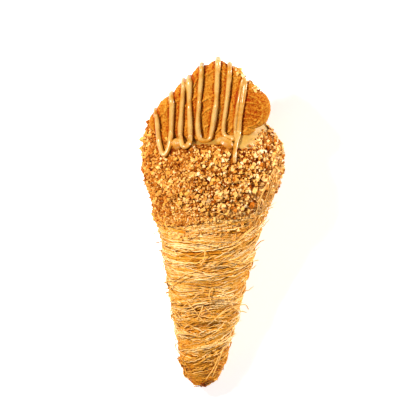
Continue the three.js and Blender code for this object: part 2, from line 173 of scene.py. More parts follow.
# The kinds of crumbs on it: the smallest and largest across and the least spacing, in millimetres, and how
# many lie on a square millimetre at most.
CRUMB_KINDS = {
    "crumbs_golden": {
        "stops": [(0.1, 0xA4560A), (0.5, 0xE2A64C), (0.9, 0xF4C884)],
        "size": (0.7, 2.2, 0.7),
        "most": 1.2,
    },
    "crumbs_pale": {
        "stops": [(0.1, 0xC8842E), (0.5, 0xEEC076), (0.9, 0xFCE4B6)],
        "size": (0.45, 1.5, 0.7),
        "most": 0.9,
    },
    "crumbs_brown": {
        "stops": [(0.1, 0x642402), (0.5, 0xA2500A), (0.9, 0xC87A24)],
        "size": (0.6, 1.7, 0.8),
        "most": 0.45,
    },
    "crumbs_fine": {
        "stops": [(0.1, 0xA05A10), (0.5, 0xE0A44A), (0.9, 0xF2C886)],
        "size": (0.4, 1.0, 0.45),
        "most": 1.4,
    },
}
CRUMB_DENTS = {"size": 0.6 * MM, "depth": 1.6 * MM}  # they give each crumb a shape of its own

# The crumbs that have come off. They get fewer between the first distances from the coat and the second, and
# set in between the distances from a strand.
STRAY_CRUMBS = {"size": (0.4, 1.4, 0.45), "most": 1.4}
STRAYS_ON_PASTRY = (0, 5 * MM)
STRAYS_ON_CREAM = (0.8 * MM, 2.4 * MM)
STRAYS_BESIDE_DRIZZLE = (0.3 * MM, 0.8 * MM)

# The biscuit.
SIDES = [{"lobes": 4, "pitch": 9.35 * MM}, {"lobes": 3, "pitch": 9.5 * MM}]
CORNER_RADIUS = 7.5 * MM
LOBE_DEPTH = 1.2 * MM
BISCUIT_THICKNESS = 6 * MM
BISCUIT_RIM = 1.8 * MM
BISCUIT_SLANT = math.radians(46.3)
BISCUIT_LEAN = math.radians(6)
BISCUIT_CENTRE = Vector((-2.2, 118.0, 12.25)) * MM
BISCUIT = Matrix.Translation(BISCUIT_CENTRE) @ Matrix.Rotation(-BISCUIT_LEAN, 4, "X")
PUFFED_CORNER = {"reach": 9.2 * MM, "swell": 0.6 * MM, "height": 1.3 * MM}
WORN_CORNER = {"reach": 8.0 * MM, "loss": 1.5 * MM}
# Its sandy grain and slow waves: how far apart the bumps are, and how high in millimetres.
BISCUIT_GRAIN = ((1.1 * MM, 0.2), (0.5 * MM, 0.16))
BISCUIT_WAVE = (6 * MM, 0.4)
STAMP_HEIGHT = 0.55  # in millimetres too
STAMP_LINE = 1.1 * MM
STAMP_OVALS = ((10.5 * MM, 6.6 * MM), (5.2 * MM, 2.8 * MM))
STAMP_BARS = {"half length": 4 * MM, "off the middle": 9.6 * MM}
STAMP_BORDER = 3.2 * MM  # how far it runs inside the edge
CORNER_BARS = {"reach": 5.5 * MM, "pitch": 2.2 * MM, "bend": 30 * MM}

# Drizzle, in millimetres as seen. A strand starts or ends behind the biscuit where "over" says at which x it
# crosses the upper edge. The pools have run together and sunk in, so they lie lower.
STRANDS = [
    {
        "radii": (0.9, 1.2),
        "over": (-23.4, -17.4),
        "places": [
            (-23, 107.4), (-21.9, 99.5), (-20.9, 95.1), (-19.5, 91.9),
            (-17.9, 93.8), (-17, 98.9), (-17.1, 112.1),
        ],
    },
    {
        "radii": (0.95, 1.25),
        "over": (-12.9, -10.6),
        "places": [
            (-13.2, 111), (-13.3, 101), (-12.7, 97.1), (-11.3, 95.4),
            (-9.8, 96.8), (-9.3, 100.1), (-10.2, 112),
        ],
    },
    {
        "radii": (1.05, 1.2),
        "over": (-6, 0.3),
        "places": [
            (-6.4, 114), (-6.5, 105), (-5.6, 99.4), (-3.5, 98.1),
            (-1.6, 99), (-0.8, 102), (0.4, 113),
        ],
    },
    {
        "radii": (1.1, 0.95),
        "over": (5, None),
        "places": [
            (5, 123), (4.6, 114), (3.8, 105), (4, 101.6),
            (5.2, 100.2), (7, 99.8), (8.4, 98.7),
        ],
    },
    {
        "radii": (0.85, 0.85),
        "over": (None, None),
        "places": [
            (9.1, 98.6), (8.5, 103), (8.7, 109), (9.5, 116.2), (10.3, 122.2), (11, 123.3), (11.5, 122),
            (11, 115.5), (10.2, 108.6), (10, 102.2), (9.3, 98.6), (8.7, 94.5), (8.7, 89.7),
        ],
    },
    {
        "radii": (2.5, 2.3),
        "over": (None, None),
        "places": [(-14.4, 98.6), (-14, 96), (-13.7, 94)],
        "lift": -0.78,
    },
    {
        "radii": (2.3, 2.6),
        "over": (None, None),
        "places": [(2.2, 98.6), (5.2, 97), (8.2, 96.2)],
        "lift": -0.78,
    },
]
ROUTE_STEP = 0.35 * MM
STRAND_LIFT = 0.45  # how far a strand's middle lies above what it runs over, as a share of its radius
STRAND_VOXEL = 0.18 * MM
STRAND_SWELLING = 0.2  # how much a strand gets thicker and thinner on its way, as a share of its radius
SPREAD_DEPTH = 2.4 * MM  # caramel this deep has its palest, full colour; nearer what it lies on it is darker, partly as painted shade
SHADOW_PAINT_FROM = 0.2 * MM  # painted shade on the biscuit is full up to this distance from a strand, and is gone at the next
SHADOW_PAINT_TO = 1.3 * MM

# Single threads that came loose, in millimetres as seen.
LOOSE_THREADS = [
    [(-4.4, 63.2), (-5.6, 61.2), (-8.7, 59.1)],
    [(-1.2, 54.6), (-1.4, 51.6), (-2.7, 48.6)],
    [(2.5, 40.0), (1.5, 38.3), (1.3, 36.3), (2.4, 33.8)],
    [(4, 27.5), (8, 30.7), (12.5, 33), (16, 33.6), (17.4, 31.8)],
    [(9.5, 34.6), (12.4, 31.6), (16.6, 30.6)],
    [(4.3, 39.5), (6.4, 38.3), (8.5, 36.4), (9.4, 34.5)],
    [(-3.8, 49.9), (-2.2, 49.6), (-0.7, 51.6)],
    [(-7.9, 34.5), (-5.3, 31.8), (-2.4, 28.3), (-0.2, 26.0)],
    [(-1.0, 32.4), (-2.0, 29.5), (-3.1, 26.7)],
    [(-11.2, 21.1), (-6.4, 20.9), (-1.2, 20.0)],
    [(4.0, 3.8), (5.8, 8.7), (7.5, 14.4), (8.6, 17.2)],
    [(1.7, 2.9), (4.6, 7.8), (6.4, 12.7)],
    [(8.3, 56.9), (12.2, 59.5), (15.6, 62.8), (18.7, 65.8)],
    [(5.6, 55.1), (11.1, 57.0), (15.3, 60.8)],
]
LOOSE_RADIUS = 0.21 * MM
LOOSE_LIFT = 1.25 * MM
LOOSE_DIP = 0.7 * MM  # how far the ends of a loose thread dip in
# A bundle of threads that has come up over the right-hand side of the crumbs, in millimetres as seen.
STRAY_BUNDLE = {
    "places": [(17.5, 61), (20.4, 65.5), (22.4, 71.5), (24.2, 77.5), (26.2, 83.5), (27.2, 88.5)],
    "threads": 7,
    "apart": 0.65,
    "sway": 1.6,
    "radius": 0.17 * MM,
    "lift": 0.9 * MM,
}


# --- Making pieces ---


def share_between(value, low, high):
    """How far a value has come from low to high, from 0 to 1."""
    return min(1, max(0, (value - low) / (high - low)))


def new_piece(name, mesh):
    piece = bpy.data.objects.new(name, mesh)
    bpy.context.scene.collection.objects.link(piece)
    return piece


def bake(piece):
    """Turns what a piece's modifiers make into its plain mesh."""
    graph = bpy.context.evaluated_depsgraph_get()
    mesh = bpy.data.meshes.new_from_object(piece.evaluated_get(graph))
    piece.modifiers.clear()
    piece.data = mesh
    return piece


def add_modifier(piece, kind, **settings):
    modifier = piece.modifiers.new(kind.lower(), kind)
    for name, value in settings.items():
        setattr(modifier, name, value)
    return modifier


def hand_over(piece, nodes, material=None):
    """Lays a finished piece down with the horn, pressed flat where it would sink into the table, hangs it
    under the root body and hides the imported solids that it stands for."""
    if material:
        piece.data.materials.clear()
        piece.data.materials.append(material)
    piece.data.transform(HORN)
    places = np.empty(3 * len(piece.data.vertices), np.float32)
    piece.data.vertices.foreach_get("co", places)
    heights = places[2::3]
    heights[:] = np.where(heights > PRESS, heights, PRESS * np.exp(np.minimum(heights, PRESS) / PRESS - 1))
    piece.data.vertices.foreach_set("co", places)
    piece.data.update()
    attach(piece, "root")
    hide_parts(*nodes)


def solid_copy(name, node):
    """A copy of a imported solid, merged into one skin, in the horn's own frame."""
    skin = bmesh.new()
    skin.from_mesh(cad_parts[node].data)
    bmesh.ops.remove_doubles(skin, verts=skin.verts, dist=0.005 * MM)
    skin.transform(HORN.inverted())
    mesh = bpy.data.meshes.new(name)
    skin.to_mesh(mesh)
    skin.free()
    return new_piece(name, mesh)


def closed_grid(name, rows, columns, place):
    """A closed skin between two poles: place(row, column) gives the points of its rows, first to last."""

    def index(row, column):
        return 1 + (row - 1) * columns + column % columns

    points = [place(0, 0)]
    points += [place(row, column) for row in range(1, rows) for column in range(columns)]
    points.append(place(rows, 0))
    last = len(points) - 1
    faces = []
    for column in range(columns):
        beside = column + 1
        faces.append((0, index(1, beside), index(1, column)))
        for row in range(1, rows - 1):
            near = index(row, column), index(row, beside)
            far = index(row + 1, beside), index(row + 1, column)
            faces.append(near + far)
        faces.append((last, index(rows - 1, column), index(rows - 1, beside)))
    skin = bmesh.new()
    corners = [skin.verts.new(point) for point in points]
    for face in faces:
        skin.faces.new([corners[i] for i in face])
    bmesh.ops.recalc_face_normals(skin, faces=skin.faces)
    mesh = bpy.data.meshes.new(name)
    skin.to_mesh(mesh)
    skin.free()
    mesh.shade_smooth()
    return new_piece(name, mesh)


def skin_of(*pieces):
    """The points and faces of several pieces together, for rays to hit."""
    points, faces = [], []
    for piece in pieces:
        first = len(points)
        points += [v.co.copy() for v in piece.data.vertices]
        faces += [[first + i for i in face.vertices] for face in piece.data.polygons]
    return points, faces


def add_node(tree, kind, *values, out=0, **settings):
    """Adds a node, makes its settings, fills its inputs in order, and returns one of its outputs.

    A value is linked if it is a socket, and None leaves an input as it is. A dictionary at the end fills
    inputs by their names or numbers.
    """
    node = tree.nodes.new(kind)
    for name, value in settings.items():
        setattr(node, name, value)
    places = list(enumerate(values))
    if values and isinstance(values[-1], dict):
        places = places[:-1] + list(values[-1].items())
    for place, value in places:
        if isinstance(value, bpy.types.NodeSocket):
            tree.links.new(value, node.inputs[place])
        elif value is not None:
            node.inputs[place].default_value = value
    return node.outputs[out] if len(node.outputs) else node


def start_tree(name, sizes):
    """A Geometry Nodes tree and the sockets of its named inputs."""
    tree = bpy.data.node_groups.new(name, "GeometryNodeTree")
    for label, kind in {"Geometry": "Geometry", **sizes}.items():
        tree.interface.new_socket(label, in_out="INPUT", socket_type="NodeSocket" + kind)
    tree.interface.new_socket("Geometry", in_out="OUTPUT", socket_type="NodeSocketGeometry")
    return tree, tree.nodes.new("NodeGroupInput").outputs


def grow(name, base, tree, sizes):
    """A new piece: what a tree makes of a base mesh with these sizes for its named inputs."""
    piece = new_piece(name, base)
    modifier = add_modifier(piece, "NODES", node_group=tree)
    for item in tree.interface.items_tree:
        if item.name in sizes:
            modifier[item.identifier] = sizes[item.name]
    return bake(piece)


# --- Materials ---


def linear(colour):
    """An sRGB hex colour as linear light."""
    parts = [((colour >> shift) & 255) / 255 for shift in (16, 8, 0)]
    return (*[p / 12.92 if p <= 0.04045 else ((p + 0.055) / 1.055) ** 2.4 for p in parts], 1)


def food_material(name, stops, layers, finish, start=0.0, bump=0.0):
    """A food whose colour runs through stops of (amount, sRGB hex colour).

    The amount is the start plus a weighted sum of layers: a value that the piece stores under a name, or
    noise with patterns of a size. The last layer also makes dents as deep as the bump.
    """
    material = bpy.data.materials.new(name)
    material.use_nodes = True
    tree = material.node_tree
    shader = tree.nodes["Principled BSDF"]
    for label, value in finish.items():
        shader.inputs[label].default_value = value
    where = add_node(tree, "ShaderNodeTexCoord", out="Object")
    amount = start
    for source, weight in layers:
        if isinstance(source, str):
            layer = add_node(tree, "ShaderNodeAttribute", attribute_name=source, out="Fac")
        else:
            layer = add_node(tree, NOISE, where, {"Scale": 1 / source, "Detail": 3.0, "Roughness": 0.6})
        amount = add_node(tree, MATH, layer, weight, amount, operation="MULTIPLY_ADD")
    colour = add_node(tree, "ShaderNodeValToRGB", amount)
    elements = colour.node.color_ramp.elements
    while len(elements) < len(stops):
        elements.new(0.5)
    for element, (place, shade) in zip(elements, stops):
        element.position = place
        element.color = linear(shade)
    tree.links.new(colour, shader.inputs["Base Color"])
    if bump:
        dents = add_node(tree, "ShaderNodeBump", {"Strength": 1.0, "Distance": bump, "Height": layer})
        tree.links.new(dents, shader.inputs["Normal"])
    return material


def kataifi_material(name, stops):
    """Kataifi: shredded dough, oven-baked with butter. It is dry and crisp with a faint oily glint, and each
    thread is browned a little differently, darker in patches where the oven was hotter."""
    layers = [("tint", 0.7), (9 * MM, 0.7), (2.2 * MM, 0.5)]
    finish = {"Roughness": 0.45, "Specular IOR Level": 0.08}
    return food_material(name, stops, layers, finish, start=-0.58)


def crumb_material(name, stops):
    """Crushed caramelised biscuit: dry, porous and matte. Each crumb's tone differs at random; it is painted
    darker in the bed's gaps as painted shade, and paler on the right as painted light.
    """
    layers = [("tint", 0.7), (0.5 * MM, 0.8)]
    finish = {"Roughness": 0.8, "Specular IOR Level": 0.03}
    return food_material(name, stops, layers, finish, start=-0.25, bump=0.1 * MM)


def cream_material():
    """Caramel cream: whipped and smoothed with a spoon. It is soft and dense, and light sinks into it a
    little."""
    finish = {
        "Roughness": 0.4,
        "Specular IOR Level": 0.2,
        "Subsurface Weight": 0.15,
        "Subsurface Scale": 1.5 * MM,
    }
    return food_material("Caramel cream", [(0.3, 0xAC8238), (0.7, 0xB89046)], [(5 * MM, 1.0)], finish)


def biscuit_material():
    """Caramelised biscuit: baked until brown through and through, with an open, sandy grain. Its raised stamp
    is painted paler as a painted highlight, it is darker over the puffed corner, and beside the strands it is
    darkened with painted shade."""
    stops = [(0.2, 0x8A2802), (0.4, 0xAA600E), (0.62, 0xBE8228), (0.9, 0xD6A04C)]
    # The first layer paints the raised stamp paler as a painted highlight and the puffed corner darker; the
    # second darkens the biscuit beside the strands as painted shade.
    layers = [("relief", 0.2), ("strand_shadow_paint", -0.26), (7 * MM, 0.5), (0.6 * MM, 1.2)]
    finish = {"Roughness": 0.7, "Specular IOR Level": 0.05}
    return food_material("Caramelised biscuit", stops, layers, finish, start=-0.35, bump=0.12 * MM)


def caramel_material():
    """Caramel spread: thick and smooth, set with a satin skin that light sinks into a little. It is darker
    where it is thin: in the pools because what it lies on shows through, and on the strands' lower sides as
    painted shade, with their tops paler."""
    finish = {
        "Roughness": 0.28,
        "Specular IOR Level": 0.65,
        "Subsurface Weight": 0.1,
        "Subsurface Scale": 1.0 * MM,
    }
    stops = [(0.1, 0xAC6E16), (0.4, 0xB8802A), (0.8, 0xC8A05C)]
    layers = [("depth_and_shade", 1.15), (7 * MM, 0.7), (2 * MM, 0.2)]
    return food_material("Caramel spread", stops, layers, finish, start=-0.52)


# --- The pastry cone ---


def winding_tree():
    """Wound threads: bundles of threads run partly round the cone side by side, each laid on the core by a
    ray from outside, at its own height above it. Their ends thin out, and only the strays' far ends stand
    off."""
    tree, given = start_tree(
        "Wound threads",
        {
            "Threads": "Int",
            "Threads in a bundle": "Int",
            "Steps": "Int",
            "Thickness": "Float",
            "Lowest": "Float",
            "Highest": "Float",
            "Shortest turn": "Float",
            "Longest turn": "Float",
            "Least climb": "Float",
            "Most climb": "Float",
            "Bundle width": "Float",
            "Lift": "Float",
            "Stray": "Float",
            "Seed": "Int",
            "Core": "Object",
            "Material": "Material",
        },
    )
    line = add_node(tree, "GeometryNodeCurvePrimitiveLine", None, (1, 0, 0))
    line = add_node(tree, "GeometryNodeResampleCurve", line, None, given["Steps"])
    starts = add_node(tree, "GeometryNodePoints", given["Threads"])
    threads = add_node(tree, "GeometryNodeInstanceOnPoints", starts, None, line)
    threads = add_node(tree, "GeometryNodeRealizeInstances", threads)

    thread = add_node(tree, "GeometryNodeCurveOfPoint")
    bundle = add_node(tree, MATH, thread, given["Threads in a bundle"], operation="DIVIDE")
    bundle = add_node(tree, MATH, bundle, operation="FLOOR")
    half_width = add_node(tree, MATH, given["Bundle width"], 0.5, operation="MULTIPLY")
    other_half = add_node(tree, MATH, given["Bundle width"], -0.5, operation="MULTIPLY")
    drawn = {}
    draws = [
        ("middle", bundle, 0.0, TURN),
        ("turn", bundle, given["Shortest turn"], given["Longest turn"]),
        ("height", bundle, given["Lowest"], given["Highest"]),
        ("climb", bundle, given["Least climb"], given["Most climb"]),
        ("layer", bundle, 0.0, 1.0),
        ("tone", bundle, 0.0, 0.4),
        ("slip", thread, -0.35, 0.35),
        ("place", thread, other_half, half_width),
        ("lean", thread, -0.5 * MM, 0.5 * MM),
        ("rise", thread, 0.0, 0.35 * MM),
        ("size", thread, 0.75, 1.2),
        ("loose", thread, 0.0, 1.0),
        ("tint", thread, 0.0, 0.6),
    ]
    for number, (name, owner, low, high) in enumerate(draws):
        seed = add_node(tree, MATH, given["Seed"], number, operation="ADD")
        drawn[name] = add_node(tree, "FunctionNodeRandomValue", {2: low, 3: high, 7: owner, 8: seed}, out=1)

    along = add_node(tree, "GeometryNodeSplineParameter")
    swing = add_node(tree, MATH, along, 0.5, operation="SUBTRACT")
    swing = add_node(tree, MATH, swing, drawn["turn"], operation="MULTIPLY")
    angle = add_node(tree, MATH, drawn["middle"], drawn["slip"], operation="ADD")
    angle = add_node(tree, MATH, angle, swing, operation="ADD")
    climb = add_node(tree, MATH, drawn["climb"], drawn["lean"], operation="ADD")
    height = add_node(tree, MATH, drawn["height"], drawn["place"], operation="ADD")
    height = add_node(tree, MATH, climb, swing, height, operation="MULTIPLY_ADD")
    lift = add_node(tree, MATH, drawn["layer"], given["Lift"], drawn["rise"], operation="MULTIPLY_ADD")
    # Slow wandering of a bundle, then the crinkle of each thread, up and down and in and out.
    for owner, spacing, pace, amount in [(bundle, 13.7, 1.1, 3.0 * MM), (thread, 7.3, 8.0, 1.2 * MM)]:
        where = add_node(tree, MATH, angle, pace, operation="MULTIPLY")
        where = add_node(tree, MATH, owner, spacing, where, operation="MULTIPLY_ADD")
        wave = add_node(tree, NOISE, {"W": where, "Scale": 1.0, "Detail": 1.0}, noise_dimensions="1D")
        wave = add_node(tree, MATH, wave, 0.5, operation="SUBTRACT")
        height = add_node(tree, MATH, wave, amount, height, operation="MULTIPLY_ADD")
    where = add_node(tree, MATH, thread, 3.9, where, operation="MULTIPLY_ADD")
    wave = add_node(tree, NOISE, {"W": where, "Scale": 1.0, "Detail": 1.0}, noise_dimensions="1D")
    lift = add_node(tree, MATH, wave, 0.5 * MM, lift, operation="MULTIPLY_ADD")
    # Only the loosest threads stand off at their end, and none do at the tip.
    loose = add_node(tree, MATH, drawn["loose"], 8.0, operation="POWER")
    apart = add_node(tree, MATH, height, 30 * MM, operation="DIVIDE", use_clamp=True)
    loose = add_node(tree, MATH, loose, apart, operation="MULTIPLY")
    far = add_node(tree, MATH, along, 5.0, operation="POWER")
    loose = add_node(tree, MATH, loose, far, operation="MULTIPLY")
    lift = add_node(tree, MATH, loose, given["Stray"], lift, operation="MULTIPLY_ADD")

    steep = add_node(tree, MATH, TIP_TURN, height, operation="SUBTRACT")
    steep = add_node(tree, MATH, steep, TIP_TURN, operation="DIVIDE", use_clamp=True)
    steep = add_node(tree, MATH, steep, TURN / 4, operation="MULTIPLY")
    level = add_node(tree, MATH, steep, operation="COSINE")
    down = add_node(tree, MATH, steep, operation="SINE")
    outward = add_node(
        tree,
        "ShaderNodeCombineXYZ",
        add_node(tree, MATH, level, add_node(tree, MATH, angle, operation="SINE"), operation="MULTIPLY"),
        add_node(tree, MATH, down, -1.0, operation="MULTIPLY"),
        add_node(tree, MATH, level, add_node(tree, MATH, angle, operation="COSINE"), operation="MULTIPLY"),
    )
    along_axis = add_node(tree, MATH, height, TIP_TURN, operation="MAXIMUM")
    centre = add_node(tree, "ShaderNodeCombineXYZ", 0.0, along_axis)
    away = add_node(tree, VECTOR_MATH, outward, {"Scale": REACH}, operation="SCALE")
    source = add_node(tree, VECTOR_MATH, centre, away, operation="ADD")
    inward = add_node(tree, VECTOR_MATH, outward, {"Scale": -1.0}, operation="SCALE")
    core = add_node(tree, "GeometryNodeObjectInfo", given["Core"], out="Geometry")
    aim = {"Source Position": source, "Ray Direction": inward, "Ray Length": REACH}
    landing = add_node(tree, "GeometryNodeRaycast", core, aim, out="Hit Position")
    raised = add_node(tree, VECTOR_MATH, outward, {"Scale": lift}, operation="SCALE")
    position = add_node(tree, VECTOR_MATH, landing, raised, operation="ADD")
    threads = add_node(tree, "GeometryNodeSetPosition", threads, None, position)

    # The tip is the brownest.
    tint = add_node(tree, MATH, drawn["tone"], drawn["tint"], operation="ADD")
    tint = add_node(tree, MATH, apart, 0.5, tint, operation="MULTIPLY_ADD")
    threads = add_node(tree, "GeometryNodeStoreNamedAttribute", threads, {"Name": "tint", "Value": tint})
    # Each thread thins out towards both ends.
    end = add_node(tree, MATH, along, 2.0, -1.0, operation="MULTIPLY_ADD")
    end = add_node(tree, MATH, add_node(tree, MATH, end, operation="ABSOLUTE"), 12.0, operation="POWER")
    girth = add_node(tree, MATH, end, -0.6, 1.0, operation="MULTIPLY_ADD")
    girth = add_node(tree, MATH, girth, drawn["size"], operation="MULTIPLY")
    girth = add_node(tree, MATH, girth, given["Thickness"], operation="MULTIPLY")
    section = add_node(tree, "GeometryNodeCurvePrimitiveCircle", 4, {"Radius": 0.5})
    tubes = add_node(tree, "GeometryNodeCurveToMesh", threads, section, girth, True)
    tubes = add_node(tree, "GeometryNodeSetMaterial", tubes, None, given["Material"])
    add_node(tree, "NodeGroupOutput", tubes)
    return tree


def pastry_core():
    """The baked mass under the threads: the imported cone, drawn in to make room for them."""
    core = solid_copy("pastry_core", "pastry_cone")
    core.data.shade_smooth()
    normals = [v.normal.copy() for v in core.data.vertices]
    for vertex, normal in zip(core.data.vertices, normals):
        x, height, z = vertex.co
        outside = math.hypot(x, z) > cone_radius(max(0, height)) - WALL / 2
        if outside or height < HOLLOW_START / 2:
            vertex.co -= normal * THREAD_ROOM
            x, height, z = vertex.co
            most = cone_radius(max(0.5 * MM, height)) - THREAD_ROOM + BUNDLE_RISE
            squeeze = min(1, most / max(math.hypot(x, z), 1e-6))
            vertex.co.x *= squeeze
            vertex.co.z *= squeeze
    return core


def pastry():
    """The core, and the layers of threads on it from the even winding underneath to the loose mess on top."""
    core = pastry_core()
    tree = winding_tree()
    for number, (name, layer) in enumerate(THREAD_LAYERS.items(), 1):
        turns = [TURN * share for share in layer["turn"]]
        climbs = [MM * climb for climb in layer["climb"]]
        sizes = {
            "Lowest": WOUND_FROM,
            "Highest": WOUND_TO,
            "Shortest turn": turns[0],
            "Longest turn": turns[1],
            "Least climb": climbs[0],
            "Most climb": climbs[1],
            "Core": core,
            "Seed": 100 * number,
            "Material": kataifi_material(f"Baked kataifi {number}", layer["stops"]),
            **layer["count"],
            **{label: MM * size for label, size in layer["size"].items()},
        }
        threads = grow(name, bpy.data.meshes.new(name), tree, sizes)
        hand_over(threads, ["pastry_cone"])
    # Painted shade: the core shows only in the deepest gaps, and is coloured darker for them.
    crust = kataifi_material("Kataifi core in painted shade", [(0.0, 0xB47018), (0.6, 0xD0963C)])
    hand_over(core, ["pastry_cone"], crust)


# --- The crumb coat ---


def bareness(place):
    """1 where the coat's edge is worn down and the cream bulges bare over it, down to 0 away from there."""
    distance = math.hypot(place.x - BARE_CREAM["x"], place.z - BARE_CREAM["z"]) / BARE_CREAM["spread"]
    return math.exp(-(distance**2) / 2) * share_between(place.y, BARE_CREAM["from"], BARE_CREAM["full"])


def crumb_tree():
    """Crumbs scattered over a surface where its cover attribute allows: rough little lumps, each of its own
    shape and size, turned at random and sunk partly in. They take on some of its tint, which is painted shade
    in its gaps, and its painted light and shade to the sides."""
    tree, given = start_tree(
        "Scattered crumbs",
        {
            "Spacing": "Float",
            "Most to the area": "Float",
            "Smallest": "Float",
            "Largest": "Float",
            "Lowest lift": "Float",
            "Highest lift": "Float",
            "Seed": "Int",
            "Material": "Material",
        },
    )
    cover = add_node(tree, "GeometryNodeInputNamedAttribute", "cover", data_type="FLOAT")
    spread = {
        "Distance Min": given["Spacing"],
        "Density Max": given["Most to the area"],
        "Density Factor": cover,
        "Seed": given["Seed"],
    }
    method = {"distribute_method": "POISSON"}
    places = add_node(tree, "GeometryNodeDistributePointsOnFaces", given["Geometry"], spread, **method)
    normal = places.node.outputs["Normal"]
    drawn = {}
    draws = [
        ("share", "FLOAT", 0.0, 1.0),
        ("lift", "FLOAT", given["Lowest lift"], given["Highest lift"]),
        ("tint", "FLOAT", 0.0, 1.0),
        ("turn", "FLOAT_VECTOR", (0, 0, 0), (TURN, TURN, TURN)),
        ("shape", "FLOAT_VECTOR", (0.5, 0.5, 0.5), (1.35, 1.35, 1.35)),
    ]
    for number, (name, kind, low, high) in enumerate(draws):
        seed = add_node(tree, MATH, given["Seed"], number + 1, operation="ADD")
        first = 2 if kind == "FLOAT" else 0
        ends = {first: low, first + 1: high, 8: seed}
        drawn[name] = add_node(tree, "FunctionNodeRandomValue", ends, out=first // 2, data_type=kind)
    # Small crumbs are far more common than large ones.
    share = add_node(tree, MATH, drawn["share"], 3.0, operation="POWER")
    ends = {"Value": share, "To Min": given["Smallest"], "To Max": given["Largest"]}
    size = add_node(tree, "ShaderNodeMapRange", ends)
    grade = add_node(tree, "GeometryNodeInputNamedAttribute", "grade", data_type="FLOAT")
    size = add_node(tree, MATH, size, grade, operation="MULTIPLY")
    raised = add_node(tree, MATH, drawn["lift"], size, operation="MULTIPLY")
    offset = add_node(tree, VECTOR_MATH, normal, {"Scale": raised}, operation="SCALE")
    places = add_node(tree, "GeometryNodeSetPosition", places, {"Offset": offset})
    side_light_paint = add_node(tree, "GeometryNodeInputNamedAttribute", "side_light_paint", data_type="FLOAT")
    # Painted shade and light: each crumb takes half the bed's tint, darker in its gaps, and its light and
    # shade to the sides.
    under = add_node(tree, "GeometryNodeInputNamedAttribute", "tint", data_type="FLOAT")
    under = add_node(tree, MATH, under, 0.5, side_light_paint, operation="MULTIPLY_ADD")
    tint = add_node(tree, MATH, drawn["tint"], 0.7, under, operation="MULTIPLY_ADD")
    places = add_node(tree, "GeometryNodeStoreNamedAttribute", places, {"Name": "tint", "Value": tint})
    scale = add_node(tree, VECTOR_MATH, drawn["shape"], {"Scale": size}, operation="SCALE")

    lump = add_node(tree, "GeometryNodeMeshCube", (0.75, 0.75, 0.75))
    crumbs = {"Instance": lump, "Rotation": drawn["turn"], "Scale": scale}
    crumbs = add_node(tree, "GeometryNodeInstanceOnPoints", places, crumbs)
    crumbs = add_node(tree, "GeometryNodeRealizeInstances", crumbs)
    corner = add_node(tree, "GeometryNodeInputPosition")
    rough = add_node(tree, NOISE, corner, {"Scale": 1 / CRUMB_DENTS["size"], "Detail": 1.0}, out="Color")
    rough = add_node(tree, VECTOR_MATH, rough, (-0.5, -0.5, -0.5), operation="ADD")
    rough = add_node(tree, VECTOR_MATH, rough, {"Scale": CRUMB_DENTS["depth"]}, operation="SCALE")
    crumbs = add_node(tree, "GeometryNodeSetPosition", crumbs, {"Offset": rough})
    crumbs = add_node(tree, "GeometryNodeSetMaterial", crumbs, None, given["Material"])
    add_node(tree, "NodeGroupOutput", crumbs)
    return tree


def crumb_sizes(size, most, seed, material):
    """Values for the inputs of the crumb tree, with the crumbs' sizes in millimetres."""
    smallest, largest, spacing = (MM * length for length in size)
    return {
        "Smallest": smallest,
        "Largest": largest,
        "Spacing": spacing,
        "Most to the area": most / MM**2,
        "Lowest lift": -0.1,
        "Highest lift": 0.5,
        "Seed": seed,
        "Material": material,
    }


def lump_share(place):
    """How far inside one of the bed's lumps a place is, from 0 in a gap up to 1."""
    warp = LUMP_WARP["amount"] * noise.noise_vector(place / LUMP_WARP["size"])
    nearest, second = noise.voronoi(place / LUMP_SIZE + warp)[0][:2]
    return share_between(second - nearest, *GAP_SHARES)


